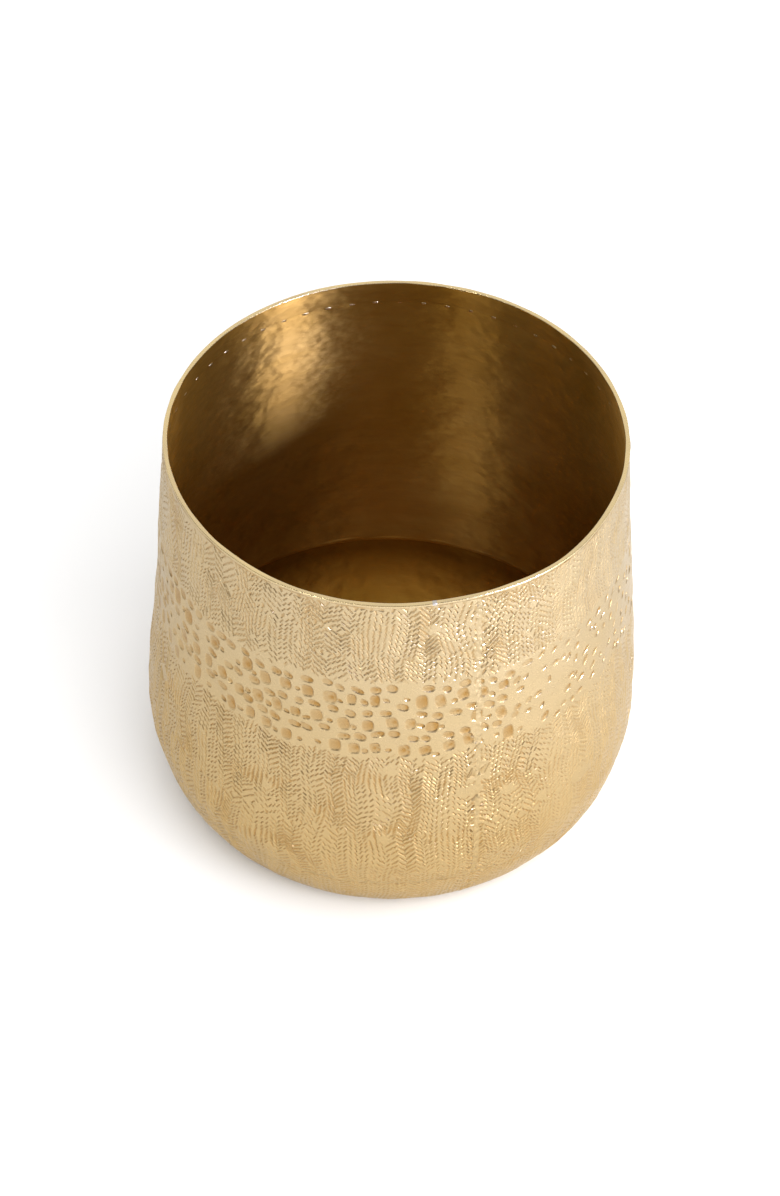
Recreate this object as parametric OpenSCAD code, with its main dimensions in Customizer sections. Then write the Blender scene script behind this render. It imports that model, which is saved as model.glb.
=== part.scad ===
// Brass planter pot: a rolled and chased wall on a deep raised base,
// with an inner rim band that caps the edge of the wall.
// Millimetres, +Z up. The origin is the middle of the underside.

/* [Body] */
// Height from the floor to the top of the rim
pot_h = 278; // [200:1:420]
// Widest outer diameter, at the belly
belly_d = 300; // [290:2:420]
// Height of the widest point above the floor
belly_h = 66; // [56:1:90]
// Outer diameter at the top of the wall
rim_d = 274; // [240:2:284]
// Diameter of the flat underside
base_d = 200; // [120:2:230]
// How much the wall still leans in at the rim, as a slope
rim_lean = 0.045; // [0:0.005:0.12]
// Fullness of the flank under the belly
flank_power = 1.3; // [1.1:0.05:2.2]
// Tightness of the turn from the flank to the underside
heel_power = 3.3; // [2:0.1:4]
// Thickness of the brass sheet
sheet_t = 1.2; // [0.8:0.1:2]

/* [Rim band] */
// Depth of the band down the inside of the wall
band_h = 16.5; // [12:0.5:30]
// Thickness of the band at the top of its skirt
band_t = 1.4; // [1:0.1:2]
// Thickness of the skirt at its feathered lower edge
band_edge_t = 0.4; // [0.3:0.1:0.8]
// Height of the straight round bore at the mouth
mouth_h = 8; // [4:0.5:10]
// Height of the lip that caps the wall
lip_h = 1.8; // [1.4:0.1:3]
// How far the lip stands out from the wall
lip_proud = 0.2; // [0.1:0.05:0.6]
// Rounding of the lip's edges
lip_round = 0.6; // [0.2:0.1:0.6]

/* [Seams] */
// Angle of the wall's side seam, from the front towards +X
side_seam_angle = 21; // [0:1:90]
// Width of the brazed side seam
side_seam_w = 3; // [1.5:0.5:6]
// Height of the joint between base and wall
base_seam_z = 45; // [30:1:55]
// Height of the brazed ring in that joint
base_seam_h = 2; // [1:0.5:4]
// How far the brazed ring stands in from the wall
base_seam_proud = 0.3; // [0.1:0.1:1]
// Angle of the joint in the rim band, from the front towards +X
rim_joint_angle = 10; // [-40:1:40]
// Width of the brazed joint in the rim band
rim_joint_w = 2.5; // [1:0.5:5]
// Height of the braze line under the lip
rim_braze_h = 0.6; // [0.4:0.1:1.5]

/* [Tacks] */
// Number of tacks along the lower edge of the rim band
tack_count = 58; // [24:1:80]
// Diameter of one tack
tack_d = 2.4; // [1.6:0.1:4]
// How far a tack stands in from the wall
tack_h = 0.5; // [0.3:0.1:0.6]

/* [Hidden] */

belly_r = belly_d / 2;
base_r = base_d / 2;
rim_r = rim_d / 2;
lip_z = pot_h - lip_h;
band_z = pot_h - band_h;
base_edge_z = base_seam_z - base_seam_h / 2;
wall_edge_z = base_seam_z + base_seam_h / 2;
mouth_r = rim_r - sheet_t - band_t;
tack_z = band_z - tack_d / 2;

// Steps along the outline of the flank, of the wall above the belly,
// of the base and of the rim band's skirt
flank_steps = 8;
wall_steps = 44;
base_steps = 24;
skirt_steps = 6;
// Steps in the round of a small edge
edge_steps = 4;
// A length past any part, for cutting
far = belly_d;
// Gap that keeps the flat back of a tack off the round wall
tack_gap = 0.02;
$fn = 180;

// Heights of the wall's outline, with one at the belly
wall_heights = concat(
    [for (i = [0 : flank_steps - 1])
        wall_edge_z + (belly_h - wall_edge_z) * i / flank_steps],
    spread(belly_h, lip_z, wall_steps));

// Outer radius at a height: flank and heel below the belly
function heel_r(z) =
    base_r + (belly_r - base_r)
    * pow(1 - pow(1 - z / belly_h, flank_power), 1 / heel_power);

// Outer radius at a height: the wall above the belly, upright at the
// belly and at its own lean at the rim
function flank_r(z) =
    let (rise = pot_h - belly_h, u = (z - belly_h) / rise)
    belly_r * (2 * pow(u, 3) - 3 * pow(u, 2) + 1)
    + rim_r * (3 * pow(u, 2) - 2 * pow(u, 3))
    - rim_lean * rise * (pow(u, 3) - pow(u, 2));

function outer_r(z) = z < belly_h ? heel_r(z) : flank_r(z);

// Equal steps from one value to another
function spread(from, to, steps) =
    [for (i = [0 : steps]) from + (to - from) * i / steps];

// Points of the outer face at a list of heights
function outline(heights) = [for (z = heights) [outer_r(z), z]];

// Direction square to the outline at point i, towards the inside
function inward(points, i) =
    let (a = points[max(i - 1, 0)],
         b = points[min(i + 1, len(points) - 1)],
         d = (b - a) / norm(b - a))
    [-d[1], d[0]];

// The inner face, one sheet thickness in from the outer face
function inner_points(points, t) =
    [for (i = [0 : len(points) - 1]) points[i] + t * inward(points, i)];

function reversed(points) =
    [for (i = [len(points) - 1 : -1 : 0]) points[i]];

// Points of a round edge about a centre, from one angle to another
function edge_arc(centre, r, from, to) =
    [for (i = [0 : edge_steps])
        let (a = from + (to - from) * i / edge_steps)
        centre + r * [cos(a), sin(a)]];

// Section of the upright sheet between the first and last of a list of
// heights, with level edges. `inset` thickens it towards the inside.
module wall_section(heights, inset = 0) {
    outer = outline(heights);
    polygon(concat(
        outer,
        [for (p = reversed(outer)) p - [sheet_t + inset, 0]]));
}

// A straight radial slice at an angle from the front towards +X
module radial_slice(angle, width) {
    rotate(angle)
        translate([-width / 2, -far, -1])
            cube([width, far, pot_h + 2]);
}

// The rim band's section: a lip over the wall's edge, and a skirt that
// lies against the wall and thins to a feathered edge
module band_section() {
    lip_out = rim_r + lip_proud;
    skirt = outline(spread(band_z, lip_z, skirt_steps));
    polygon(concat(
        edge_arc([lip_out - lip_round, pot_h - lip_round], lip_round, 0, 90),
        edge_arc([mouth_r + lip_round, pot_h - lip_round], lip_round, 90, 180),
        [[mouth_r, pot_h - mouth_h],
         [skirt[0][0] - sheet_t - band_edge_t, band_z]],
        [for (p = skirt) p - [sheet_t, 0]],
        [[lip_out, lip_z]]));
}

// One tack: a low button on a flat back, facing -X
module tack() {
    rotate([0, -90, 0])
        cylinder(d1 = tack_d, d2 = tack_d / 2, h = tack_h, $fn = 24);
}

// Rolled and chased sheet from the base joint to the lip
module body_wall() {
    color([0.83, 0.70, 0.45])
        difference() {
            rotate_extrude() wall_section(wall_heights);
            radial_slice(side_seam_angle, side_seam_w);
        }
}

// Brazed strip that closes the rolled wall
module side_seam() {
    color([0.80, 0.66, 0.42])
        intersection() {
            rotate_extrude() wall_section(wall_heights);
            radial_slice(side_seam_angle, side_seam_w);
        }
}

// Raised dish with a flat underside. Its heights crowd towards the
// floor, where the heel turns under.
module base_dish() {
    outer = outline([for (t = spread(0, 1, base_steps)) base_edge_z * pow(t, 3)]);
    inner = inner_points(outer, sheet_t);
    last = len(outer) - 1;
    color([0.80, 0.67, 0.43])
        rotate_extrude()
            polygon(concat(
                [[0, 0]],
                outer,
                [[outer[last][0] - sheet_t, base_edge_z]],
                [for (i = [last - 1 : -1 : 0]) inner[i]],
                [[0, sheet_t]]));
}

// Brazed ring between dish and wall, a low bead on the inside
module base_seam() {
    color([0.75, 0.62, 0.38])
        rotate_extrude()
            wall_section([base_edge_z, wall_edge_z], base_seam_proud);
}

// Band inside the mouth, open where its ends are brazed
module rim_band() {
    color([0.90, 0.78, 0.54])
        difference() {
            rotate_extrude() band_section();
            radial_slice(rim_joint_angle, rim_joint_w);
        }
}

// Braze that joins the ends of the rim band
module rim_joint() {
    color([0.78, 0.74, 0.66])
        intersection() {
            rotate_extrude() band_section();
            radial_slice(rim_joint_angle, rim_joint_w);
        }
}

// Thin line of braze in the corner under the lip
module rim_braze() {
    low_z = lip_z - rim_braze_h;
    color([0.60, 0.47, 0.27])
        rotate_extrude()
            polygon([
                [outer_r(low_z), low_z],
                [rim_r + lip_proud, lip_z],
                [outer_r(lip_z), lip_z]]);
}

// Tacks in a ring under the skirt's edge
module rim_tacks() {
    color([0.86, 0.76, 0.55])
        for (i = [0 : tack_count - 1])
            rotate(360 * (i + 0.5) / tack_count)
                translate([outer_r(tack_z + tack_d / 2) - sheet_t - tack_gap, 0, tack_z])
                    tack();
}

body_wall();
side_seam();
base_dish();
base_seam();
rim_band();
rim_joint();
rim_braze();
rim_tacks();
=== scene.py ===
"""Brass planter pot: detailed pieces, materials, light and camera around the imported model."""

import math

import bmesh
import bpy
import numpy as np
from mathutils import Matrix, Vector
from mathutils.geometry import convex_hull_2d, delaunay_2d_cdt


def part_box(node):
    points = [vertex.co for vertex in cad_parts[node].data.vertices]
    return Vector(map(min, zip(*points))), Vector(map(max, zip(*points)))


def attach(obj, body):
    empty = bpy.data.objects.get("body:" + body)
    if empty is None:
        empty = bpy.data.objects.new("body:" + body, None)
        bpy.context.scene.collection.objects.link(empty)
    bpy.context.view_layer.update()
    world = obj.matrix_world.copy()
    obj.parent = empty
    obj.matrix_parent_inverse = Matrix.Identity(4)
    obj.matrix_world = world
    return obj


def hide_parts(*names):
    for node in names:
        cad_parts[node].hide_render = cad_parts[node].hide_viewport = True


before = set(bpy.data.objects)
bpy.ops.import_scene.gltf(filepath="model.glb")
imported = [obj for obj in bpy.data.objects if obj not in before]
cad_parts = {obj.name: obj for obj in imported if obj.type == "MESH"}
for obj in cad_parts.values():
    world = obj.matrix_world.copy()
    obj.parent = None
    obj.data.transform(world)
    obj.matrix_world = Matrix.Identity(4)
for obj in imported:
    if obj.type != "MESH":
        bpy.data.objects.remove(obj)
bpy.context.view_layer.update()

# Lengths are in millimetres until a mesh is made. A turn is an angle round the pot from the front
# towards +X, and a run is a distance along the outer line from the middle of the underside.
MM = 0.001
TURN = 2 * math.pi


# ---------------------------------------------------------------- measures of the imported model

def node_section(name):
    """Radius and height of the vertices of a CAD node."""
    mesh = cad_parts[name].data
    points = np.empty(3 * len(mesh.vertices))
    mesh.vertices.foreach_get("co", points)
    points = points.reshape(-1, 3) / MM
    return np.hypot(points[:, 0], points[:, 1]), points[:, 2]


def node_turns(name):
    """Lowest and highest turn of a CAD node at the front of the pot."""
    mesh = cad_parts[name].data
    turns = [math.atan2(v.co.x, -v.co.y) for v in mesh.vertices]
    return min(turns), max(turns)


def heights_of(name):
    """Lowest and highest height of a CAD node."""
    low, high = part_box(name)
    return low.z / MM, high.z / MM


def outer_points():
    """The pot's outer line from the middle of the underside to the lip, as radius and height."""
    radius, height = node_section("base_dish")
    flat_r = radius[height < 0.001].max()
    hull = convex_hull_2d([Vector(p) for p in zip(radius, height)])
    dish = {round(height[i], 3): radius[i] for i in hull if radius[i] > flat_r}
    dish[round(height.max(), 3)] = radius[height > height.max() - 0.01].max()
    radius, height = node_section("body_wall")
    wall = {h: radius[abs(height - h) < 0.002].max() for h in np.unique(height.round(3))}
    line = sorted((h, r) for h, r in {**dish, **wall}.items())
    return [(0, 0), (flat_r / 2, 0), (flat_r, 0)] + [(r, h) for h, r in line]


class Line:
    """A smooth line through (radius, height) points, read by the run along it."""

    def __init__(self, points, step=0.25):
        points = np.array(points, float)
        knots = np.concatenate([[0], np.cumsum(np.linalg.norm(np.diff(points, axis=0), axis=1))])
        slopes = np.gradient(points, knots, axis=0)
        self.run = np.linspace(0, knots[-1], int(knots[-1] / step))
        i = np.clip(np.searchsorted(knots, self.run, side="right") - 1, 0, len(knots) - 2)
        gap = (knots[i + 1] - knots[i])[:, None]
        t = (self.run - knots[i])[:, None] / gap
        line = (
            (2 * t**3 - 3 * t**2 + 1) * points[i]
            + (t**3 - 2 * t**2 + t) * gap * slopes[i]
            + (3 * t**2 - 2 * t**3) * points[i + 1]
            + (t**3 - t**2) * gap * slopes[i + 1]
        )
        along = np.gradient(line, self.run, axis=0)
        along /= np.linalg.norm(along, axis=1)[:, None]
        self.radius, self.height = line.T
        self.out_r, self.out_z = along[:, 1], -along[:, 0]

    def at(self, run, lift):
        """Radius and height at a run, lifted off the line."""
        radius = np.interp(run, self.run, self.radius) + lift * np.interp(run, self.run, self.out_r)
        height = np.interp(run, self.run, self.height) + lift * np.interp(run, self.run, self.out_z)
        return radius, height

    def run_at(self, height):
        """The run at a height above the underside."""
        above = self.height > 0.001
        return np.interp(height, self.height[above], self.run[above])


OUTER = Line(outer_points())
WALL_FOOT, WALL_TOP = heights_of("body_wall")
DISH_TOP = heights_of("base_dish")[1]
SKIRT_FOOT, LIP_TOP = heights_of("rim_band")
RIM_BORE, RIM_OUT = node_section("rim_band")[0].min(), node_section("rim_band")[0].max()
SEAM_TURNS = node_turns("side_seam")
SEAM_TURN = sum(SEAM_TURNS) / 2
JOINT_TURNS = node_turns("rim_joint")
BELLY_R = max(OUTER.radius)
BELLY_ROUND = BELLY_R * TURN
SHEET_T = 1.2
RUN_FOOT, RUN_TOP, RUN_DISH = (float(OUTER.run_at(h)) for h in (WALL_FOOT, WALL_TOP, DISH_TOP))
# Turns of the points on the edges round the pot, which the pieces share
RING_TURNS = SEAM_TURN + (np.arange(600) + 0.5) / 600 * TURN


def smooth_step(value, low, high):
    """0 up to the low value, 1 from the high value on, and a smooth rise between them."""
    t = np.clip((value - low) / (high - low), 0, 1)
    return t * t * (3 - 2 * t)


def turn_gap(a, b):
    """Signed angle from b to a."""
    return (a - b + math.pi) % TURN - math.pi


def handmade(turn, height):
    """How far the hand-made pot is off round at a place: full beside the seam and flat across it, at
    the rim and on the flank, and pressed in a little on the left."""
    def swell(amount, middle, width):
        """A rise about a turn. The turn and the width are in degrees."""
        return amount * np.exp(-((turn_gap(turn, math.radians(middle)) / math.radians(width)) ** 2))

    rim = swell(1.5, 43, 13) + swell(1.8, -17, 26) - swell(0.5, 12, 8) + swell(0.8, 148, 25)
    flank = 0.6 + swell(1.3, 52, 22) + swell(1.0, -42, 24) - swell(1.2, 23, 11)
    left = -swell(1.7, -85, 22)
    return (
        rim * smooth_step(height, 120, 270)
        + flank * smooth_step(height, 4, 40) * (1 - smooth_step(height, 90, 160))
        + left * smooth_step(height, 85, 135) * (1 - smooth_step(height, 170, 225))
    )


def rolled(turn, radius, height):
    """Points in metres from turn, radius and height."""
    radius = radius + handmade(turn, height)
    return np.column_stack([radius * np.sin(turn), -radius * np.cos(turn), height]) * MM


def ripple(turn, run, seed, length, stretch=1.0, count=18):
    """Smooth random waves of about unit size, which close round the pot."""
    rng = np.random.default_rng(seed)
    total = 0
    for _ in range(count):
        angle = rng.uniform(0, TURN)
        scale = rng.uniform(0.7, 1.5)
        round_waves = round(BELLY_ROUND / (length * stretch) * math.cos(angle) * scale)
        up_waves = TURN / length * math.sin(angle) * scale
        total = total + np.cos(round_waves * turn + up_waves * run + rng.uniform(0, TURN))
    return total / math.sqrt(count / 2)


# ---------------------------------------------------------------- tool marks

# The power of a mark's outline, the share of it that is a flat floor, and the corners it is drawn with:
# for a chisel stroke, a punched dent (its power is in DENTS), and the second blow inside a dent
STROKE_POWER, STROKE_FLOOR, STROKE_CORNERS = 2.2, 0.45, 4
DENT_FLOOR, DENT_CORNERS = 0.74, 12
STEP_POWER, STEP_FLOOR, STEP_CORNERS = 2, 0.7, 8
# No mark is deeper than this, so that none comes through the sheet
DEEPEST = 0.72


class Marks:
    """Tool marks, each at a turn and a run: a superellipse outline, a sloping side and a flat floor.
    The lean of a mark makes it deeper towards its right side. Its patina darkens its hollow, and painted
    shade darkens it further towards its right side."""

    FIELDS = (
        "turn", "run", "half_l", "half_w", "tilt", "depth", "power", "floor", "lean", "patina",
        "corners")
    CELL = 7.5

    def __init__(self):
        self.rows = []

    def add(self, *values):
        self.rows.append(values)

    def close(self):
        """Turns the rows into arrays and sorts them into cells."""
        for name, column in zip(self.FIELDS, np.array(self.rows, float).T):
            setattr(self, name, column)
        self.radius = OUTER.at(self.run, 0)[0]
        self.around = int(BELLY_ROUND / self.CELL)
        cell = self.cells(self.turn, self.run)
        self.order = np.argsort(cell, kind="stable")
        self.start = np.searchsorted(cell[self.order], np.arange(cell.max() + 3 * self.around))
        return self

    def cells(self, turn, run, step_turn=0, step_run=0):
        """Number of the cell that a place is in, or of a neighbour of that cell."""
        column = (np.floor(turn % TURN / TURN * self.around).astype(int) + step_turn) % self.around
        row = np.maximum(np.floor(run / self.CELL).astype(int) + step_run, 0)
        return row * self.around + column

    def local(self, i, turn, run):
        """Where points lie in marks i: 0 in the middle and 1 on the outline, and how far to the
        right."""
        across = turn_gap(turn, self.turn[i]) * self.radius[i]
        up = run - self.run[i]
        cos, sin = np.cos(self.tilt[i]), np.sin(self.tilt[i])
        x = np.abs(across * cos + up * sin) / self.half_l[i]
        y = np.abs(up * cos - across * sin) / self.half_w[i]
        out = (x ** self.power[i] + y ** self.power[i]) ** (1 / self.power[i])
        right = (across + 0.15 * up) / np.sqrt(self.half_l[i] * self.half_w[i])
        return out, np.clip(right, -1, 1)

    def depth_at(self, turn, run):
        """Depth below the face, share of the mark's own depth, patina with painted shade, and how far out
        in a mark.
        """
        depth, share = np.zeros(len(turn)), np.zeros(len(turn))
        nearest, darkest = np.full(len(turn), 9.0), np.zeros(len(turn))
        for step_turn in (-1, 0, 1):
            for step_run in (-1, 0, 1):
                cell = self.cells(turn, run, step_turn, step_run)
                cell = np.minimum(cell, len(self.start) - 2)
                first, last = self.start[cell], self.start[cell + 1]
                for k in range((last - first).max()):
                    points = np.nonzero(first + k < last)[0]
                    i = self.order[first[points] + k]
                    out, right = self.local(i, turn[points], run[points])
                    here = np.clip((1 - out) / (1 - self.floor[i]), 0, 1)
                    deep = np.minimum(self.depth[i] * here * (1 + self.lean[i] * right), DEEPEST)
                    # Patina in the hollow, and painted shade towards the right side of a leaning mark:
                    # the dark warm reflection of the shadowed floor and of the pot that this wall takes
                    dark = self.patina[i] * here * (1 + 3.6 * self.lean[i] * np.maximum(right, 0) ** 2)
                    depth[points] = np.maximum(depth[points], deep)
                    share[points] = np.maximum(share[points], here)
                    darkest[points] = np.maximum(darkest[points], dark)
                    nearest[points] = np.minimum(nearest[points], out)
        return depth, share, darkest, nearest

    def outline(self, i, share, count, shift=0.0):
        """Points of the marks i on a scaled copy of their outlines, in turn and run."""
        angle = (np.arange(count) + shift) / count * TURN
        cos, sin = np.cos(angle)[None, :], np.sin(angle)[None, :]
        power = 2 / self.power[i][:, None]
        x = np.sign(cos) * np.abs(cos) ** power * self.half_l[i][:, None] * share
        y = np.sign(sin) * np.abs(sin) ** power * self.half_w[i][:, None] * share
        cos, sin = np.cos(self.tilt[i])[:, None], np.sin(self.tilt[i])[:, None]
        turn = self.turn[i][:, None] + (x * cos - y * sin) / self.radius[i][:, None]
        run = self.run[i][:, None] + x * sin + y * cos
        return turn.ravel(), run.ravel()


# Each column of strokes starts this share of its pitch away from the last one
STROKE_SHIFT = 0.42
# Heights where one band of chasing ends and the next begins, and the height where the fine chasing of
# the dish stops
BANDS = [58, 92, 126, 160, 198, 217, 236, 256, WALL_TOP - 1]
FOOT_BARE = 8
# The strokes of the bands: columns round the pot, pitch up a column, slope in degrees, size and
# darkness of a stroke, and how many columns may share a slant
UNDER_BELT = dict(columns=340, pitch=3.4, slope=56, half_l=2.4, half_w=0.86, depth=0.37, patina=0.62,
                  groups=[2, 3, 3])
OVER_BELT = dict(columns=326, pitch=3.6, slope=60, half_l=2.55, half_w=0.88, depth=0.36, patina=0.48,
                 groups=[2, 3, 4, 4])
ON_DISH = dict(columns=340, pitch=3.2, slope=50, half_l=2.1, half_w=0.84, depth=0.54, patina=0.75,
               groups=[2, 3, 3])
# Rows of dents in the belt, its radius, and the distances from dent to dent along a row
DENT_ROWS = 6
BELT_R = 143
TALL_PITCH, OVAL_PITCH = 13.8, 10.6
# A dent's half length and half width with their spreads, its tilt in degrees with its spread, the
# range of its depth, and the power of its outline
DENTS = {
    "tall": ((5.0, 0.5), (3.9, 0.35), (96, 8), (0.36, 0.48), 3.0),
    "oval": ((4.2, 0.45), (3.0, 0.3), (-18, 12), (0.3, 0.43), 2.2),
    "small": ((2.6, 0.4), (1.9, 0.25), (-25, 25), (0.3, 0.45), 2),
    "worn": ((3.3, 0.5), (2.1, 0.3), (35, 20), (0.18, 0.34), 2),
}
# The long chisel lines beside the seam: how many, their distance and their height on the pot
SCORES, SCORE_PITCH, SCORE_HEIGHT = 6, 2.3, 138


def belt_edges(turn):
    """Heights of the lower and upper edge of the belt of dents."""
    low = 159 + 2.0 * ripple(turn, 0, 41, 60)
    high = 215 + 5 * np.sin(turn / 2) ** 2 + 2.0 * ripple(turn, 0, 42, 50)
    return low, high


def add_strokes(marks, rng, low_run, high_run, keep, columns, pitch, slope, half_l, half_w, depth,
                patina, groups):
    """A band of slanting chisel strokes in columns. A group of columns shares a slant, and the next
    group turns it round. `keep(turn, run)` gives the share of the full depth at a place."""
    width = BELLY_ROUND / columns
    slant, left_in_group = 1, 0
    phase = rng.uniform(0, pitch)
    first = rng.integers(columns)
    for c in range(columns):
        if left_in_group == 0:
            slant = -slant
            left_in_group = rng.choice(groups)
        left_in_group -= 1
        phase = (phase + slant * STROKE_SHIFT * pitch) % pitch
        runs = np.arange(low_run + phase, high_run, pitch)
        aside = rng.normal(0, 0.05 * width, len(runs)) / BELLY_R
        turns = SEAM_TURN + (first + c + 0.5) / columns * TURN + aside
        runs = runs + 1.5 * ripple(turns, runs, 54, 48) + rng.normal(0, 0.035 * pitch, len(runs))
        turns = turns + 1.6 * ripple(turns, runs, 51, 55) / BELLY_R
        slopes = slope + 5 * ripple(turns, runs, 52, 45) + rng.normal(0, 4, len(runs))
        tilts = slant * np.radians(slopes)
        shares = keep(turns, runs) * np.clip(1 + rng.normal(0, 0.09, len(runs)), 0.7, 1.3)
        for turn, run, tilt, share in zip(turns, runs, tilts, shares):
            if share < 0.25 or rng.random() < 0.015:
                continue
            length = half_l * rng.uniform(0.93, 1.06)
            breadth = half_w * rng.uniform(0.94, 1.08)
            dark = min(share, 1) * patina * rng.uniform(0.8, 1.2)
            marks.add(turn, run, length, breadth, tilt, depth * share, STROKE_POWER, STROKE_FLOOR, 0,
                      dark, STROKE_CORNERS)


def field_share(turn, run):
    """Depth of the chasing over the wall: none in the belt and among the long lines beside the seam,
    weak on the right, and patchy."""
    height = OUTER.at(run, 0)[1]
    low, high = belt_edges(turn)
    share = 1 - smooth_step(height, low - 3, low) * (1 - smooth_step(height, high, high + 3))
    side = np.degrees(turn_gap(turn, 0))
    worn = smooth_step(side, 32, 48) * (1 - smooth_step(side, 95, 115))
    from_seam = np.abs(turn_gap(turn, SEAM_TURN) * BELLY_R)
    scored = (from_seam < 3.2 * SCORE_PITCH) & (np.abs(height - SCORE_HEIGHT) < 8)
    share = np.where(scored, 0, share)
    return share * (1 - 0.45 * worn) * smooth_step(2.4 - ripple(turn, run, 61, 36), 0, 0.5)


def dent_kind(tall_row, small, worn):
    """Which of the dents stands at a place."""
    if worn:
        return "worn"
    if small:
        return "small"
    return "tall" if tall_row else "oval"


def add_dents(marks, rng):
    """The belt: rows of tall rounded dents with small ones between, and rows of lying ovals."""
    placed = []
    for row in range(DENT_ROWS):
        tall_row = row % 2 == 1
        count = int(BELLY_ROUND / (TALL_PITCH if tall_row else OVAL_PITCH))
        for c in range(2 * count if tall_row else count):
            small = tall_row and c % 2 == 1
            step = c / 2 if tall_row else c
            if rng.random() < (0.2 if small else 0.03):
                continue
            turn = SEAM_TURN + (step + 0.3 * row + rng.normal(0, 0.1)) / count * TURN
            low, high = belt_edges(turn)
            height = high - (row + 0.4) * (high - low) / DENT_ROWS + rng.normal(0, 1.2) - 1.5 * small
            worn = 30 < math.degrees(turn_gap(turn, 0)) < 95
            if worn and rng.random() < 0.25:
                continue
            long, wide, tilt, deep, power = DENTS[dent_kind(tall_row, small, worn)]
            half_l, half_w = rng.normal(*long), rng.normal(*wide)
            tilt, depth = math.radians(rng.normal(*tilt)), rng.uniform(*deep)
            if small and not worn and rng.random() >= 0.7:
                power = 1.5
            run = float(OUTER.run_at(height))
            reach = math.sqrt(half_l * half_w)
            gaps = [
                math.hypot(turn_gap(turn, t) * BELT_R, run - r) / (reach + other)
                for t, r, other in placed[-4 * count:]
            ]
            if gaps and min(gaps) < 0.84:
                continue
            placed.append((turn, run, reach))
            add_dent(marks, rng, turn, run, half_l, half_w, tilt, depth, power)


def add_dent(marks, rng, turn, run, half_l, half_w, tilt, depth, power):
    """One dent, which the leaning punch drove deeper on the right, and often a second blow inside
    it."""
    lean = rng.uniform(0.35, 0.75)
    # The patina is the brown in the dent's hollow; depth_at adds painted shade to it towards the right
    # wall
    patina = rng.uniform(0.75, 1.15) * depth
    marks.add(turn, run, half_l, half_w, tilt, depth, power, DENT_FLOOR, lean, patina, DENT_CORNERS)
    if rng.random() < 0.6:
        share = rng.uniform(0.45, 0.62)
        aside = rng.uniform(-0.2, 0.3) * half_w / BELLY_R
        up = rng.uniform(-0.25, 0.15) * half_w
        marks.add(turn + aside, run + up, share * half_l, share * half_w, tilt + rng.normal(0, 0.2),
                  depth + rng.uniform(0.1, 0.17), STEP_POWER, STEP_FLOOR, lean, patina + 0.15,
                  STEP_CORNERS)


def add_scores(marks, rng):
    """A few long chisel lines side by side near the seam, under the belt."""
    for i in range(SCORES):
        across = SCORE_PITCH * (i - (SCORES - 1) / 2) + rng.normal(0, 0.15)
        run = float(OUTER.run_at(SCORE_HEIGHT + rng.normal(0, 1)))
        tilt = math.radians(66 + rng.normal(0, 2))
        marks.add(SEAM_TURN + across / BELLY_R, run, rng.uniform(6.2, 7.4), 0.8, tilt, 0.5, STROKE_POWER,
                  STROKE_FLOOR, 0, 0.3, STROKE_CORNERS)


def foot_share(turn, run):
    """Depth of the finer chasing low on the pot: it fades out as the dish turns under."""
    height = OUTER.at(run, 0)[1]
    return 0.75 * smooth_step(height, FOOT_BARE, FOOT_BARE + 12)


def chasing():
    """All marks on the outside of the pot."""
    rng = np.random.default_rng(7)
    marks = Marks()
    add_dents(marks, rng)
    for low, high in zip(BANDS, BANDS[1:]):
        style = UNDER_BELT if low < 160 else OVER_BELT
        add_strokes(marks, rng, OUTER.run_at(low), OUTER.run_at(high), field_share, **style)
    add_strokes(marks, rng, OUTER.run_at(FOOT_BARE), OUTER.run_at(BANDS[0]) - 1, foot_share, **ON_DISH)
    add_scores(marks, rng)
    return marks.close()


# ---------------------------------------------------------------- meshes

def triangulated(plane, lines=()):
    """Triangles over points in a plane, anticlockwise, that keep to the given lines between points.
    Returns the points, with those added where lines cross, and the faces."""
    places, _, faces, sources, _, _ = delaunay_2d_cdt(
        [Vector(p) for p in plane.tolist()], [tuple(line) for line in lines], [], 0, 1e-7)
    index, crossings = [], []
    for place, found in zip(places, sources):
        if found:
            index.append(found[0])
        else:
            index.append(len(plane) + len(crossings))
            crossings.append(tuple(place))
    plane = np.concatenate([plane, np.reshape(crossings, (-1, 2))])
    faces = np.array(index)[np.array(faces)]
    a, b, c = (plane[faces[:, k]] for k in range(3))
    area = (b - a)[:, 0] * (c - a)[:, 1] - (b - a)[:, 1] * (c - a)[:, 0]
    faces[area < 0] = faces[area < 0][:, ::-1]
    return plane, faces[np.abs(area) > 1e-9]


def loop_walls(count, start):
    """Quads that join the first `count` points, a closed loop, to the same points from `start` on."""
    i = np.arange(count)
    j = (i + 1) % count
    return np.column_stack([j, i, i + start, j + start])


def linked(name, data):
    """An object for a mesh, a light or a camera, in the scene."""
    obj = bpy.data.objects.new(name, data)
    bpy.context.scene.collection.objects.link(obj)
    return obj


# Kinds of face: bare ground, the side and the floor of a mark, the inside, and the edge of the sheet
GROUND, SIDE, FLOOR, INNER, EDGE = range(5)


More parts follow.
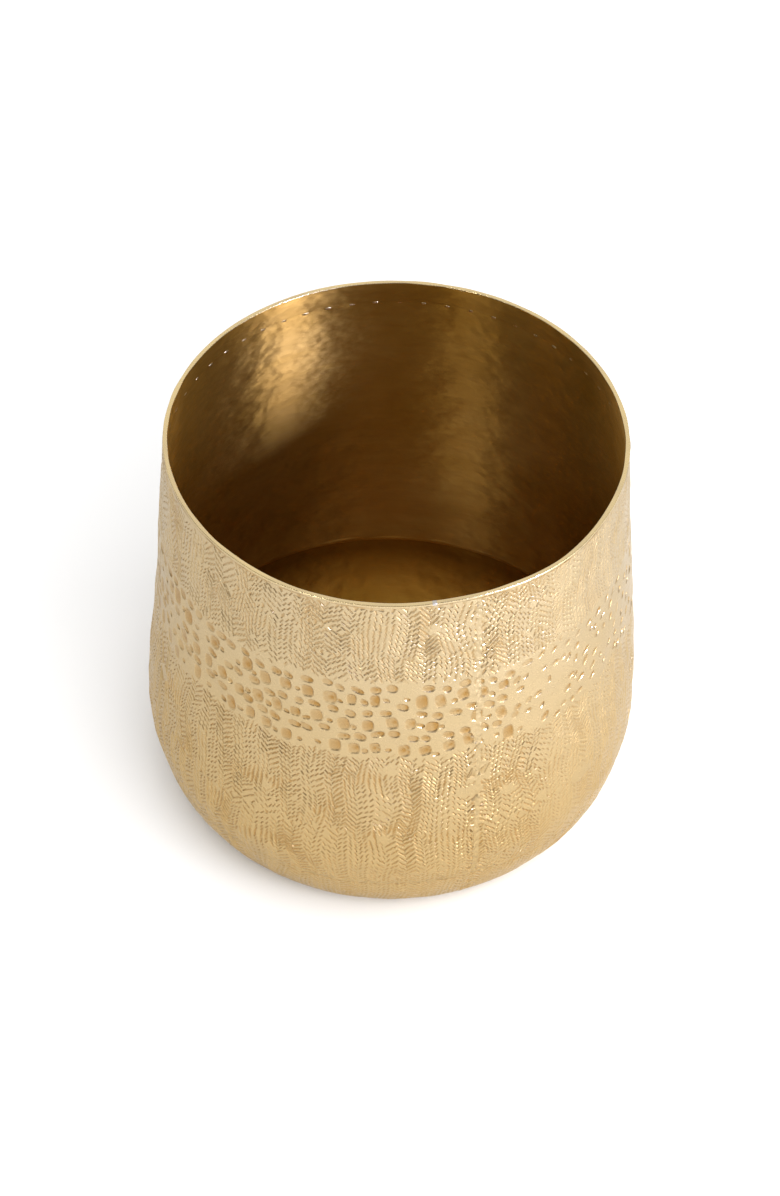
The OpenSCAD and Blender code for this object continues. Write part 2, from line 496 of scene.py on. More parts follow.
def two_skins(name, outer, outer_faces, inner, inner_faces, walls, kinds, smooth, patina):
    """An object of an outer skin, an inner skin and the walls between them. The kinds and the
    smoothness are those of the outer faces, and the patina with its painted shade is that of the outer
    points.
    Where two kinds of face meet, the edge is sharp."""
    faces = outer_faces.tolist() + (inner_faces + len(outer)).tolist() + walls.tolist()
    groups = np.concatenate([kinds, np.full(len(inner_faces), INNER), np.full(len(walls), EDGE)])
    smooth = np.concatenate([smooth, np.ones(len(inner_faces), bool), np.zeros(len(walls), bool)])
    patina = np.concatenate([patina, np.zeros(len(inner))])
    mesh = bpy.data.meshes.new(name)
    mesh.from_pydata(np.concatenate([outer, inner]), [], faces)
    mesh.polygons.foreach_set("use_smooth", smooth)
    mesh.polygons.foreach_set("material_index", (groups == INNER).astype(int))
    sides = np.empty(len(mesh.loops), int)
    mesh.loops.foreach_get("edge_index", sides)
    of_side = np.repeat(groups, [len(f) for f in faces])
    lowest = np.full(len(mesh.edges), EDGE)
    highest = np.full(len(mesh.edges), GROUND)
    np.minimum.at(lowest, sides, of_side)
    np.maximum.at(highest, sides, of_side)
    sharp = mesh.attributes.new("sharp_edge", "BOOLEAN", "EDGE")
    sharp.data.foreach_set("value", lowest != highest)
    mesh.attributes.new("patina", "FLOAT", "POINT").data.foreach_set("value", patina)
    mesh.update()
    return linked(name, mesh)


def belongs(obj, node, slot, *materials):
    """Puts a piece on the pot in the place of its CAD node."""
    for material in materials:
        obj.data.materials.append(material)
    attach(obj, "root")
    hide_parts(node)
    return obj


# Distance between the points on bare ground
FILLER_PITCH = 5.0


def skin_points(marks, rng, inside):
    """Points that draw the marks on a skin, with filler points on the bare ground between them, as
    their turns, their runs, and pairs of points with a line between them. `inside(turn, run)` says
    which places belong to the skin."""
    everything = np.arange(len(marks.turn))
    strokes = everything[marks.corners == STROKE_CORNERS]
    dents = everything[marks.corners == DENT_CORNERS]
    steps = everything[marks.corners == STEP_CORNERS]
    rings = [
        (strokes, 1, STROKE_CORNERS, 0.5), (strokes, STROKE_FLOOR, 2, 0),
        (dents, 1, DENT_CORNERS, 0), (dents, DENT_FLOOR, DENT_CORNERS, 0.5),
        (steps, 1, STEP_CORNERS, 0), (steps, STEP_FLOOR, STEP_CORNERS - 2, 0.5),
    ]
    parts, lines, total = [], [], 0
    for chosen, share, count, shift in rings:
        parts.append(marks.outline(chosen, share, count, shift))
        index = total + np.arange(len(chosen) * count).reshape(-1, count)
        total += index.size
        if share == 1 or chosen is strokes:
            lines.append(np.stack([index, np.roll(index, -1, axis=1)], axis=2).reshape(-1, 2))
    lines = np.concatenate(lines)
    columns = int(BELLY_ROUND / FILLER_PITCH)
    runs = np.arange(OUTER.run[0], OUTER.run[-1], FILLER_PITCH)
    turn, run = (a.ravel() for a in np.meshgrid(SEAM_TURN + np.arange(columns) / columns * TURN, runs))
    turn = turn + rng.uniform(-0.3, 0.3, len(turn)) * FILLER_PITCH / BELLY_R
    run = run + rng.uniform(-0.3, 0.3, len(run)) * FILLER_PITCH
    bare = marks.depth_at(turn, run)[3] > 1.3
    parts.append((turn[bare], run[bare]))
    turn, run = (np.concatenate([p[k] for p in parts]) for k in (0, 1))
    kept = inside(turn, run)
    lines = (np.cumsum(kept) - 1)[lines[kept[lines].all(axis=1)]]
    return turn[kept], run[kept], lines


def outside(marks, turn, run):
    """Lift of the outside at each point, its share of the depth of a mark, and its patina with painted
    shade.
    The ground waves a little, more so beside the seam, and stays flat under the pot."""
    depth, share, patina, out = marks.depth_at(turn, run)
    burr = 0.04 * ((out > 0.97) & (out < 1.03))
    ground = 0.16 * ripple(turn, run, 71, 34) + 0.06 * ripple(turn, run, 72, 13)
    near_seam = np.exp(-(turn_gap(turn, SEAM_TURN) * BELLY_R / 9) ** 2)
    low = smooth_step(OUTER.at(run, 0)[1], 4, 20)
    return low * (ground + burr + 0.19 * near_seam * ripple(turn, run, 73, 5)) - depth, share, patina


def face_kinds(faces, share):
    """Tells bare ground, the sides of marks and their floors apart by the depth at the corners."""
    at_corners = share[faces]
    kinds = np.where(at_corners.max(1) > 0.04, SIDE, GROUND)
    kinds[at_corners.min(1) > 0.96] = FLOOR
    return kinds


def build_wall(marks):
    """The chased sheet, rolled from the seam round to the seam, as one closed skin."""
    rng = np.random.default_rng(11)
    start, stop = SEAM_TURNS[1], SEAM_TURNS[0] + TURN
    margin = 0.6

    def inside(turn, run):
        across = (turn - start) % TURN
        return (
            (across > margin / BELLY_R) & (across < stop - start - margin / BELLY_R)
            & (run > RUN_FOOT + margin) & (run < RUN_TOP - margin)
        )

    foot = RING_TURNS[(RING_TURNS > start) & (RING_TURNS < stop)]
    around = np.concatenate([[start], foot, [stop]])
    up = np.linspace(RUN_FOOT, RUN_TOP, int((RUN_TOP - RUN_FOOT) / 1.6))
    upright = np.ones(len(up) - 2)
    edge_turn = np.concatenate([around, stop * upright, around[::-1], start * upright])
    edge_run = np.concatenate([
        np.full(len(around), RUN_FOOT), up[1:-1], np.full(len(around), RUN_TOP), up[-2:0:-1]])
    edge_count = len(edge_turn)

    turn, run, lines = skin_points(marks, rng, inside)
    turn = start + (turn - start) % TURN
    lines = lines[np.abs(turn[lines[:, 0]] - turn[lines[:, 1]]) < 1] + edge_count
    turn, run = np.concatenate([edge_turn, turn]), np.concatenate([edge_run, run])
    sheet, outer_faces = triangulated(np.column_stack([turn * BELLY_R, run]), lines)
    turn, run = sheet[:, 0] / BELLY_R, sheet[:, 1]
    lift, share, patina = outside(marks, turn, run)
    outer = rolled(turn, *OUTER.at(run, lift))

    columns, rows = np.linspace(start, stop, 182), np.linspace(RUN_FOOT, RUN_TOP, 44)
    grid = np.meshgrid(columns[1:-1], rows[1:-1])
    in_turn, in_run = (np.concatenate([e, g.ravel()]) for e, g in zip((edge_turn, edge_run), grid))
    in_lift = -SHEET_T + inner_waves(in_turn, in_run)
    inner_faces = triangulated(np.column_stack([in_turn * BELLY_R, in_run]))[1][:, ::-1]
    inner = rolled(in_turn, *OUTER.at(in_run, in_lift))

    kinds = face_kinds(outer_faces, share)
    walls = loop_walls(edge_count, len(outer))
    return two_skins("chased_wall", outer, outer_faces, inner, inner_faces, walls, kinds, kinds != SIDE,
                     patina)


def inner_waves(turn, run):
    """Low hammer waves on the inside, drawn out round the pot."""
    return 0.05 * ripple(turn, run, 81, 11, stretch=5) + 0.08 * ripple(turn, run, 82, 30) - 0.1


def polar(turn, run):
    """The dish laid flat, with every run at its true distance from the middle."""
    return np.column_stack([run * np.sin(turn), -run * np.cos(turn)])


def ring_points(low_run, high_run, pitch, rng):
    """Scattered points over the dish between two runs."""
    turns, runs = [], []
    for r in np.arange(low_run, high_run, pitch * 0.87):
        radius = max(r, 1)
        count = max(int(TURN * radius / pitch), 1)
        first = rng.uniform(0, TURN)
        aside = rng.uniform(-0.25, 0.25, count) * pitch / radius
        turns.append(first + np.arange(count) / count * TURN + aside)
        runs.append(r + rng.uniform(-0.25, 0.25, count) * pitch)
    return np.concatenate(turns), np.abs(np.concatenate(runs))


def blows(points, centres, depth, reach=5.0):
    """Hollows of hammer blows about their centres, as the rise of each point above the nearest centre.
    It is the given depth at the given reach."""
    lowest = np.full(len(points), 99.0)
    for part in np.array_split(np.arange(len(points)), max(len(points) // 2000, 1)):
        gap = points[part][:, None, :] - centres[None, :, :]
        lowest[part] = np.sqrt((gap**2).sum(2)).min(1)
    return depth * (lowest / reach) ** 2


def build_dish(marks):
    """The dish: a flat underside, a flank with faint chasing and a planished inside."""
    rng = np.random.default_rng(12)
    edge_turn = RING_TURNS
    edge_run = np.full(len(edge_turn), RUN_DISH)

    low = float(OUTER.run_at(FOOT_BARE)) - 2
    turn, run, lines = skin_points(marks, rng, lambda t, r: (r > low) & (r < RUN_DISH - 0.6))
    under_turn, under_run = ring_points(0, low - 1, FILLER_PITCH, rng)
    turn = np.concatenate([edge_turn, turn, under_turn])
    run = np.concatenate([edge_run, run, under_run])
    disc, outer_faces = triangulated(polar(turn, run), lines + len(edge_turn))
    outer_faces = outer_faces[:, ::-1]
    turn, run = np.arctan2(disc[:, 0], -disc[:, 1]), np.hypot(disc[:, 0], disc[:, 1])
    lift, share, patina = outside(marks, turn, run)
    outer = rolled(turn, *OUTER.at(run, lift))

    in_turn, in_run = ring_points(0, RUN_DISH - 1.5, 3.0, rng)
    in_turn = np.concatenate([edge_turn, in_turn])
    in_run = np.concatenate([edge_run, in_run])
    centres = polar(*ring_points(0, RUN_DISH, 8.5, rng))
    hollow = blows(polar(in_turn, in_run), centres, 0.16)
    in_lift = -SHEET_T - 0.1 + hollow * (in_run < RUN_DISH - 4)
    inner = rolled(in_turn, *OUTER.at(in_run, in_lift))
    inner_faces = triangulated(polar(in_turn, in_run))[1]

    kinds = face_kinds(outer_faces, share)
    walls = loop_walls(len(edge_turn), len(outer))[:, ::-1]
    return two_skins("base_bowl", outer, outer_faces, inner, inner_faces, walls, kinds, kinds == GROUND,
                     patina)


def solid(name, points, faces, slots=(), sharp=38):
    """An object that is smooth but for edges sharper than an angle. `slots` gives the material of
    each face."""
    mesh = bpy.data.meshes.new(name)
    mesh.from_pydata(points, [], faces)
    mesh.attributes.new("patina", "FLOAT", "POINT")
    if slots:
        mesh.polygons.foreach_set("material_index", slots)
    shape = bmesh.new()
    shape.from_mesh(mesh)
    bmesh.ops.recalc_face_normals(shape, faces=shape.faces)
    for edge in shape.edges:
        edge.smooth = edge.calc_face_angle(0) < math.radians(sharp)
    for face in shape.faces:
        face.smooth = True
    shape.to_mesh(mesh)
    shape.free()
    return linked(name, mesh)


def tube(name, points, size, closed, slots=()):
    """A solid whose points come section by section, `size` points in each. `slots` gives the material
    of each side of the section."""
    count = len(points) // size
    faces = []
    for i in range(count if closed else count - 1):
        j = (i + 1) % count
        for k in range(size):
            m = (k + 1) % size
            faces.append((i * size + k, j * size + k, j * size + m, i * size + m))
    of_faces = list(slots) * (len(faces) // size)
    if not closed:
        faces.append(tuple(range(size)))
        faces.append(tuple(range(len(points) - 1, len(points) - size - 1, -1)))
        of_faces += [0, 0] if slots else []
    return solid(name, points, faces, of_faces)


def swept(name, sections, turns, closed, slots=()):
    """A solid through a list of closed sections, arrays of radius and height, at their turns."""
    size = len(sections[0])
    rings = [rolled(np.full(size, turn), *section.T) for turn, section in zip(turns, sections)]
    return tube(name, np.concatenate(rings), size, closed, slots)


def arc(centre, radius, start, stop, steps):
    """Points of an arc in a section, from one angle in degrees to another."""
    angles = np.radians(np.linspace(start, stop, steps + 1))
    return np.column_stack([centre[0] + radius * np.cos(angles), centre[1] + radius * np.sin(angles)])


# Steps along each rounded edge of the lip and along the skirt's face, and the radii of the edges
ARC_STEPS, SKIRT_STEPS = 4, 6
OUTER_ROUND, INNER_ROUND = 0.7, 0.45


def band_section(turn, swell=0.0):
    """The rim band's section at a turn: a filed lip over the wall's edge and a skirt that thins out."""
    top = LIP_TOP + 0.08 * float(ripple(turn, 0, 91, 60)) + swell
    wide = 0.08 * float(ripple(turn, 0, 92, 35))
    outer = arc((RIM_OUT - OUTER_ROUND + wide, top - OUTER_ROUND), OUTER_ROUND, 0, 80, ARC_STEPS)
    inner = arc((RIM_BORE + INNER_ROUND - wide, top - INNER_ROUND), INNER_ROUND, 95, 180, ARC_STEPS)
    skirt_top = WALL_TOP - 6.2
    skirt = []
    for share in np.linspace(0, 1, SKIRT_STEPS + 1):
        height = skirt_top - share * (skirt_top - SKIRT_FOOT)
        thick = 0.4 + (1 - share) * 0.95
        skirt.append((OUTER.at(OUTER.run_at(height), -SHEET_T)[0] - thick, height))
    back = [(OUTER.at(OUTER.run_at(h), -SHEET_T)[0], h) for h in np.linspace(SKIRT_FOOT, WALL_TOP, 4)]
    return np.concatenate([outer, inner, skirt, back, [(RIM_OUT + wide, WALL_TOP)]])


def build_rim_band():
    """The band from joint round to joint: a bright lip, a dull skirt, and the wall's metal outside."""
    start, stop = JOINT_TURNS[1], JOINT_TURNS[0] + TURN
    turns = np.linspace(start, stop, 540)
    sections = [band_section(t) for t in turns]
    lip_sides, skirt_sides = 2 * ARC_STEPS + 1, SKIRT_STEPS + 2
    hidden_sides = len(sections[0]) - lip_sides - skirt_sides - 1
    slots = [0] * lip_sides + [1] * skirt_sides + [0] * hidden_sides + [2]
    return swept("capped_rim", sections, turns, False, slots)


def build_rim_joint():
    """The braze between the band's ends, which stands up a little."""
    turns = np.linspace(JOINT_TURNS[0], JOINT_TURNS[1], 7)
    swell = 0.12 * np.cos(np.linspace(-0.5, 0.5, 7) * math.pi)
    return swept("rim_solder", [band_section(t, s) for t, s in zip(turns, swell)], turns, False)


def build_rim_braze():
    """The line of braze under the lip outside, thicker in some places than in others."""
    low, high = heights_of("rim_braze")
    turns = np.arange(480) / 480 * TURN
    sections = []
    for turn in turns:
        foot = high - (high - low) * (1 + 0.25 * float(ripple(turn, 0, 95, 25)))
        root = OUTER.at(OUTER.run_at(np.array([foot, high])), 0)[0]
        proud = 0.16 + 0.03 * float(ripple(turn, 0, 96, 12))
        sections.append(np.array([
            (root[0] - 0.15, foot), (root[0] + 0.1, foot + 0.02), (root[1] + proud, high - 0.12),
            (root[1] + proud, high), (root[1] - 0.15, high)]))
    return swept("rim_braze_line", sections, turns, True)


def build_base_seam(marks):
    """The brazed ring between dish and wall: chased over outside, a low turned bead inside."""
    runs = OUTER.run_at(np.linspace(*heights_of("base_seam"), 5))
    inner_run = np.linspace(runs[-1] + 0.9, runs[0] - 0.9, 7)
    rise = np.sin(np.linspace(0, math.pi, len(inner_run)))
    lifts = [outside(marks, RING_TURNS, np.full(len(RING_TURNS), run))[0] for run in runs]
    proud = SHEET_T + 0.35 + 0.1 * ripple(RING_TURNS, 0, 97, 22)
    sections = []
    for lift, bead in zip(np.array(lifts).T, proud):
        outer = np.column_stack(OUTER.at(runs, lift))
        arch = SHEET_T - 0.2 + (bead - SHEET_T + 0.2) * rise
        inner = np.column_stack(OUTER.at(inner_run, -arch))
        sections.append(np.concatenate([outer, inner]))
    slots = [1] * (len(runs) - 1) + [0] * (len(inner_run) + 1)
    return swept("base_braze_ring", sections, RING_TURNS, True, slots)


def build_side_seam(marks):
    """The brazed strip between the sheet's edges, with the chasing smeared over it."""
    runs = np.linspace(RUN_FOOT, RUN_TOP, 230)
    across = np.linspace(SEAM_TURNS[0], SEAM_TURNS[1], 7)
    rows = []
    for turn in across:
        column = np.full(len(runs), turn)
        smear = 0.06 * ripple(column, runs, 98, 3.5)
        rows.append(rolled(column, *OUTER.at(runs, outside(marks, column, runs)[0] + smear)))
    for turn in across[::-3]:
        column = np.full(len(runs), turn)
        rows.append(rolled(column, *OUTER.at(runs, -SHEET_T + inner_waves(column, runs))))
    slots = [0] * len(across) + [1] * (len(rows) - len(across) - 1) + [0]
    return tube("side_seam_strip", np.stack(rows, axis=1).reshape(-1, 3), len(rows), False, slots)


def tack_centres():
    """Turn and height of each tack, read off the separate solids of their CAD node."""
    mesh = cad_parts["rim_tacks"].data
    shape = bmesh.new()
    shape.from_mesh(mesh)
    bmesh.ops.remove_doubles(shape, verts=shape.verts, dist=1e-6)
    # A dict keeps the order of the vertices, so that the sums are the same in each run
    waiting = dict.fromkeys(shape.verts)
    centres = []
    while waiting:
        island = [waiting.popitem()[0]]
        for vert in island:
            for edge in vert.link_edges:
                other = edge.other_vert(vert)
                if other in waiting:
                    del waiting[other]
                    island.append(other)
        middle = sum((v.co for v in island), Vector()) / len(island)
        # The turns start a little after the tack that stands at the very front, so it is the last one
        turn = (math.atan2(middle.x, -middle.y) - 0.01) % TURN + 0.01
        centres.append((turn, middle.z / MM))
    shape.free()
    return sorted(centres)


def build_tacks():
    """Small worn tacks, each a low dome of its own size."""
    rng = np.random.default_rng(16)
    rings, sides = 4, 10
    levels = np.linspace(0, math.pi / 2, rings + 1)[:-1]
    angle = np.arange(sides) / sides * TURN
    points, faces = [], []
    for number, (turn, height) in enumerate(tack_centres()):
        wide, tall = rng.uniform(1.4, 2.3), rng.uniform(0.7, 1.05)
        proud = rng.uniform(0.22, 0.42)
        middle = OUTER.run_at(height)
        for level in levels:
            size = math.cos(level) ** 0.7
            across = turn + wide * size * np.cos(angle) / RIM_BORE
            run = middle + tall * size * np.sin(angle)
            points.append(rolled(across, *OUTER.at(run, -SHEET_T - 0.02 - proud * math.sin(level))))
        points.append(rolled(np.array([turn]), *OUTER.at(np.array([middle]), -SHEET_T - 0.02 - proud)))
        start = number * (rings * sides + 1)
        crown = start + rings * sides
        for k in range(sides):
            m = (k + 1) % sides
            for ring in range(rings - 1):
                low = start + ring * sides
                faces.append((low + k, low + m, low + m + sides, low + k + sides))
            faces.append((crown - sides + k, crown - sides + m, crown))
        faces.append(tuple(range(start + sides - 1, start - 1, -1)))
    return solid("skirt_tacks", np.concatenate(points), faces, sharp=98)


# ---------------------------------------------------------------- materials

class Nodes:
    """A short way to write a material's node tree. Its methods add a node and return its output."""

    def __init__(self, name):
        self.material = bpy.data.materials.new(name)
        self.material.use_nodes = True
        self.tree = self.material.node_tree
        self.shader = self.tree.nodes["Principled BSDF"]

    def add(self, kind, **inputs):
        node = self.tree.nodes.new(kind)
        self.feed(node, **inputs)
        return node

    def feed(self, node, **inputs):
        """Sets inputs of a node, or links them to other nodes' outputs."""
        for key, value in inputs.items():
            socket = node.inputs[key.replace("_", " ")]
            if isinstance(value, bpy.types.NodeSocket):
                self.tree.links.new(value, socket)
            else:
                socket.default_value = value

    def attribute(self, name):
        node = self.add("ShaderNodeAttribute")
        node.attribute_name = name
        return node.outputs["Fac"]

    def place(self, scale):
        """Position on the pot, in metres, stretched by a scale for each axis."""
        mapping = self.add("ShaderNodeMapping", Scale=scale)
        self.tree.links.new(self.add("ShaderNodeTexCoord").outputs["Object"], mapping.inputs["Vector"])
        return mapping.outputs["Vector"]

    def height(self):
        """Height above the floor, in metres."""
        split = self.add("ShaderNodeSeparateXYZ", Vector=self.place((1, 1, 1)))
        return split.outputs["Z"]

    def noise(self, vector, scale, detail=3.0, rough=0.55):
        return self.add("ShaderNodeTexNoise", Vector=vector, Scale=scale, Detail=detail,
                        Roughness=rough).outputs["Fac"]

    def between(self, value, low, high, to_low, to_high):
        """The value carried over from one range to another."""
        node = self.add("ShaderNodeMapRange", Value=value, From_Min=low, From_Max=high, To_Min=to_low,
                        To_Max=to_high)
        return node.outputs["Result"]

    def mix(self, factor, first, second):
        """The first colour, or the second one where the factor is 1."""
        node = self.tree.nodes.new("ShaderNodeMix")
        node.data_type = "RGBA"
        sockets = node.inputs[0], node.inputs[6], node.inputs[7]
        for socket, value in zip(sockets, (factor, first, second)):
            if isinstance(value, bpy.types.NodeSocket):
                self.tree.links.new(value, socket)
            else:
                socket.default_value = value if isinstance(value, float) else (*value, 1)
        return node.outputs[2]

    def bump(self, height, strength, distance, under=None):
        """Bumps on the surface, over those that an earlier call made."""
        node = self.add("ShaderNodeBump", Height=height, Strength=strength, Distance=distance)
        if under:
            self.feed(node, Normal=under)
        self.feed(self.shader, Normal=node.outputs["Normal"])
        return node.outputs["Normal"]


# The chased brass: bare, in its paler places, with painted shade low on the pot, and in the marks, where
# patina and the painted shade on the dents' right walls darken it
BRASS = (0.47, 0.36, 0.205)
PALE = (0.49, 0.385, 0.24)
LOW_SHADE = (0.465, 0.33, 0.152)
RECESS = (0.33, 0.185, 0.055)
# Heights between which the painted shade low on the pot fades outside, and those between which painted
# shade sets in over the dish's flank inside
LOW_SHADE_FADE, DISH_SHADE_FADE = (0.08, 0.23), (0.014, 0.038)
# How much the metal still mirrors where it is seen edge-on
EDGE_TINT = (0.84, 0.82, 0.78, 1)


def outer_brass(name, ground, recess, rough):
    """Satin brass: painted shade low on the pot, warmer in the marks from their patina and from painted
    shade on the dents' right walls, with a mottle and a fine grain.
    """
    n = Nodes(name)
    mottle = n.noise(n.place((1, 1, 1)), 45, 4)
    toned = n.mix(n.between(mottle, 0.35, 0.7, 0.0, 0.45), ground, PALE)
    # Painted shade: darker and warmer low on the pot, where the wall mirrors the floor in the pot's
    # shadow and the pot's own warm light
    toned = n.mix(n.between(n.height(), *LOW_SHADE_FADE, 1.0, 0.0), toned, LOW_SHADE)
    # Patina in the marks, with painted shade on the right walls of the dents, turns the colour to the
    # recess colour
    deep = n.between(n.attribute("patina"), 0.0, 0.8, 0.0, 1.0)
    colour = n.mix(deep, toned, recess)
    grain = n.noise(n.place((1, 1, 1)), 900, 2)
    roughness = n.between(grain, 0.3, 0.7, rough - 0.05, rough + 0.08)
    n.feed(n.shader, Base_Color=colour, Metallic=1.0, Roughness=roughness, Specular_Tint=EDGE_TINT)
    n.bump(grain, 0.04, 0.0002)
    return n.material


def inner_brass(name, light, dark, rough, above=None):
    """Brass with a brown patina, brushed round the pot. A dish has painted shade above its floor."""
    n = Nodes(name)
    bands = n.noise(n.place((1, 1, 9)), 14, 4)
    clouds = n.noise(n.place((1, 1, 1)), 9, 4)
    colour = n.mix(n.between(clouds, 0.35, 0.68, 0.0, 1.0), dark, light)
    colour = n.mix(n.between(bands, 0.4, 0.75, 0.0, 0.4), colour, dark)
    # Painted shade over the dish's flank above its floor, which the walls around it shade
    if above:
        colour = n.mix(n.between(n.height(), *DISH_SHADE_FADE, 0.0, 1.0), colour, above)
    grain = n.noise(n.place((1, 1, 40)), 70, 3)
    roughness = n.between(grain, 0.3, 0.7, rough - 0.06, rough + 0.08)
    n.feed(n.shader, Base_Color=colour, Metallic=1.0, Roughness=roughness, Anisotropic=0.95,
           Anisotropic_Rotation=0.25)
    tangent = n.add("ShaderNodeTangent")
    tangent.direction_type = "RADIAL"
    tangent.axis = "Z"
    n.feed(n.shader, Tangent=tangent.outputs["Tangent"])
    hollows = n.noise(n.place((1, 1, 1.6)), 75, 1.5)
    n.bump(grain, 0.4, 0.0002, n.bump(hollows, 1.0, 0.0009))
    return n.material


chased_brass = outer_brass("chased_brass", BRASS, RECESS, 0.30)
base_brass = outer_brass("base_brass", BRASS, RECESS, 0.30)
seam_metal = outer_brass("seam_braze", BRASS, RECESS, 0.32)
rim_metal = outer_brass("rim_brass", (0.71, 0.545, 0.28), (0.6, 0.42, 0.2), 0.26)
rim_solder = outer_brass("rim_joint_braze", (0.55, 0.52, 0.47), (0.4, 0.36, 0.3), 0.45)
rim_line = outer_brass("rim_line_braze", (0.42, 0.27, 0.11), (0.3, 0.2, 0.1), 0.5)
tack_metal = outer_brass("tack_braze", (0.85, 0.66, 0.36), (0.6, 0.42, 0.2), 0.3)
inner_wall_brass = inner_brass("inner_wall_brass", (0.50, 0.285, 0.07), (0.35, 0.175, 0.025), 0.46)
# Painted light: the dish's floor inside is a brighter copy of the inside brass, lit from the mouth;
# painted shade covers the flank above it
inner_base_lit_and_shaded_brass = inner_brass(
    "inner_base_lit_and_shaded_brass", (0.86, 0.50, 0.10), (0.60, 0.32, 0.045), 0.42, (0.26, 0.125, 0.018))
inner_ring_brass = inner_brass("inner_braze", (0.48, 0.28, 0.07), (0.36, 0.19, 0.03), 0.34)

# ---------------------------------------------------------------- the pot

wall_marks = chasing()
belongs(build_wall(wall_marks), "body_wall", "chased_brass", chased_brass, inner_wall_brass)
belongs(build_side_seam(wall_marks), "side_seam", "seam_braze", seam_metal, inner_wall_brass)
belongs(build_dish(wall_marks), "base_dish", "base_brass", base_brass, inner_base_lit_and_shaded_brass)
belongs(build_base_seam(wall_marks), "base_seam", "inner_braze", inner_ring_brass, base_brass)
belongs(build_rim_band(), "rim_band", "rim_brass", rim_metal, inner_wall_brass, chased_brass)
belongs(build_rim_joint(), "rim_joint", "rim_joint_braze", rim_solder)
belongs(build_rim_braze(), "rim_braze", "rim_line_braze", rim_line)
belongs(build_tacks(), "rim_tacks", "tack_braze", tack_metal)


# ---------------------------------------------------------------- floor, light and camera

def build_floor():
    """A plain pale floor."""
    size = 6.0
    mesh = bpy.data.meshes.new("floor")
    corners = [(-size, -size, 0), (size, -size, 0), (size, size, 0), (-size, size, 0)]
    mesh.from_pydata(corners, [], [(0, 1, 2, 3)])
    paint = bpy.data.materials.new("floor_white")
    paint.use_nodes = True
    surface = paint.node_tree.nodes["Principled BSDF"].inputs
    surface["Base Color"].default_value = (0.93, 0.93, 0.93, 1)
    surface["Roughness"].default_value = 0.9
    mesh.materials.append(paint)
    linked("floor", mesh)


# The direction of the studio's bright wall, and the strength of the light elsewhere and there
BRIGHT_SIDE = (0.1, 0.85, 0.5)
DIM, BRIGHT = 0.38, 1.1
# The colours of the lights that aren't white
COOL, WARM = (0.52, 0.59, 1.0), (1.0, 0.8, 0.55)


def area_light(name, width, height, radiance):
    """An area light that shines down from the origin."""
    light = bpy.data.lights.new(name, "AREA")
    light.shape = "RECTANGLE"
    light.size = width
    light.size_y = height
    light.energy = radiance * math.pi * width * height
    return linked(name, light)


def add_softbox(name, turn, elevation, distance, width, height, radiance, seen_by, colour=(1, 1, 1)):
    """An area light that faces the pot from a turn and an elevation, both in degrees. It lights the
    floor, shows in the metal, or both."""
    turn, elevation = math.radians(turn), math.radians(elevation)
    away = Vector((math.sin(turn) * math.cos(elevation), -math.cos(turn) * math.cos(elevation),
                   math.sin(elevation)))
    lamp = area_light(name, width, height, radiance)
    lamp.data.color = colour
    facing = away.to_track_quat("Z", "Y").to_matrix().to_4x4()
    lamp.matrix_world = Matrix.Translation(away * distance + Vector((0, 0, 0.14))) @ facing
    lamp.visible_diffuse = seen_by != "metal"
    lamp.visible_glossy = seen_by != "floor"


def add_pool(name, turn, away, height, size, radiance):
    """An area light that faces straight down, for a pool of light on the floor beside the pot."""
    lamp = area_light(name, size, size, radiance)
    turn = math.radians(turn)
    lamp.location = (away * math.sin(turn), -away * math.cos(turn), height)
    lamp.visible_glossy = False


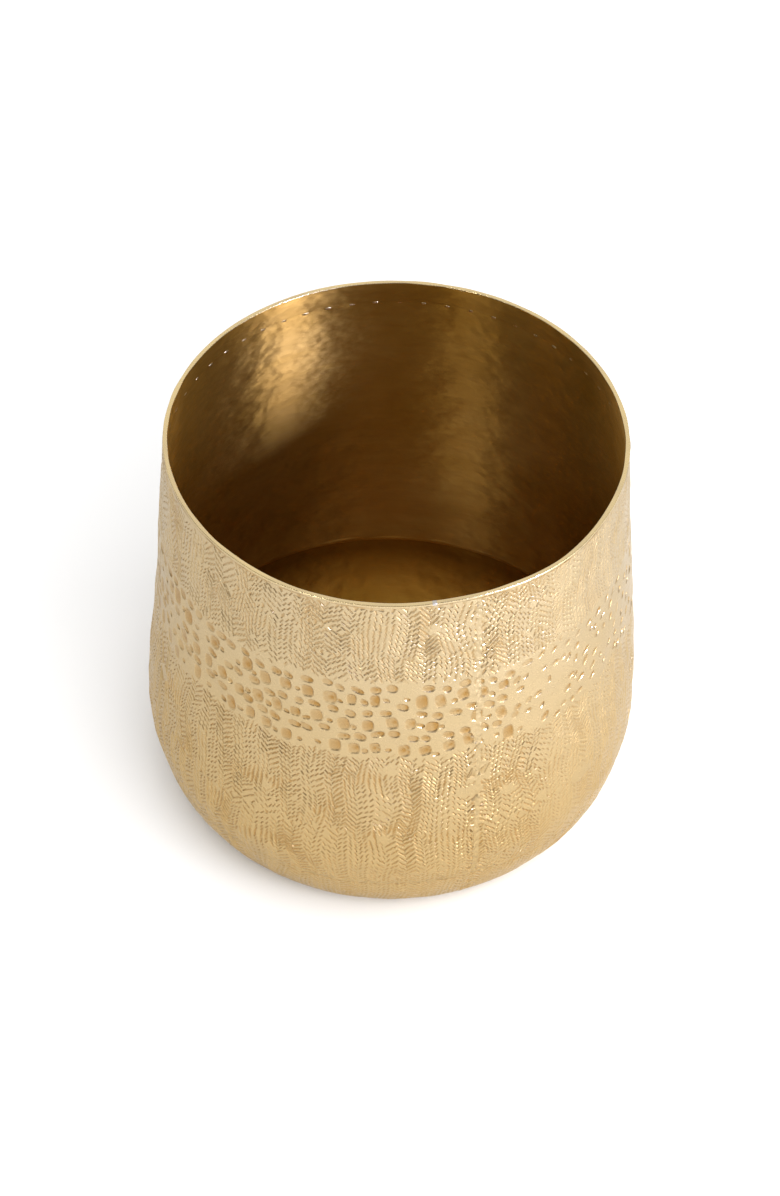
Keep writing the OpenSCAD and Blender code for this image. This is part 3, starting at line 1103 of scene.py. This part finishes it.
def build_light():
    """A dim studio with a white wall at the back, a broad ceiling light for the floor, a key from the
    right, and boxes that only the metal mirrors."""
    world = bpy.data.worlds.new("studio")
    world.use_nodes = True
    tree = world.node_tree
    towards = tree.nodes.new("ShaderNodeVectorMath")
    towards.operation = "DOT_PRODUCT"
    tree.links.new(tree.nodes.new("ShaderNodeTexCoord").outputs["Generated"], towards.inputs[0])
    towards.inputs[1].default_value = BRIGHT_SIDE
    ramp = tree.nodes.new("ShaderNodeMapRange")
    ramp.interpolation_type = "SMOOTHSTEP"
    for key, value in (("From Min", 0.2), ("From Max", 0.8), ("To Min", DIM), ("To Max", BRIGHT)):
        ramp.inputs[key].default_value = value
    tree.links.new(towards.outputs["Value"], ramp.inputs["Value"])
    tree.links.new(ramp.outputs["Result"], tree.nodes["Background"].inputs["Strength"])
    tree.nodes["Background"].inputs["Color"].default_value = (1, 1, 1, 1)
    bpy.context.scene.world = world
    add_softbox("ceiling_box", 20, 75, 2.2, 3.0, 3.0, 0.9, "floor")
    add_softbox("front_box", 25, 38, 2.0, 2.0, 1.4, 4.6, "floor")
    add_softbox("key_box", 80, 50, 1.8, 0.8, 0.8, 3.5, "floor")
    add_pool("pool_box", 56, 1.1, 0.45, 0.5, 4.0)
    add_softbox("sheen_box", 5, 44, 1.8, 1.4, 1.1, 0.36, "metal", WARM)
    add_softbox("left_low_box", -64, 10, 1.8, 1.1, 0.6, 0.6, "metal")
    add_softbox("streak_box", 51, 23, 1.8, 0.24, 0.4, 185.0, "metal", COOL)
    add_softbox("left_box", -34, 38, 1.8, 0.16, 0.3, 38.0, "metal")
    add_softbox("low_box", 64, 5, 1.8, 0.7, 0.4, 10.0, "metal")


def build_camera():
    """The camera looks down on the pot from the front, a little off level."""
    target = Vector((-0.0016, 0, 0.1404))
    elevation, distance, roll = math.radians(46.26), 2.4, math.radians(1.355)
    camera = bpy.data.cameras.new("camera")
    camera.lens = 118.03
    camera.sensor_width = 36
    camera.clip_start, camera.clip_end = 0.1, 20
    obj = linked("camera", camera)
    back = Vector((0, -math.cos(elevation), math.sin(elevation)))
    look = back.to_track_quat("Z", "Y").to_matrix().to_4x4()
    obj.matrix_world = Matrix.Translation(target + back * distance) @ look @ Matrix.Rotation(roll, 4, "Z")
    bpy.context.scene.camera = obj


build_floor()
build_light()
build_camera()
bpy.context.scene.view_settings.view_transform = "Standard"
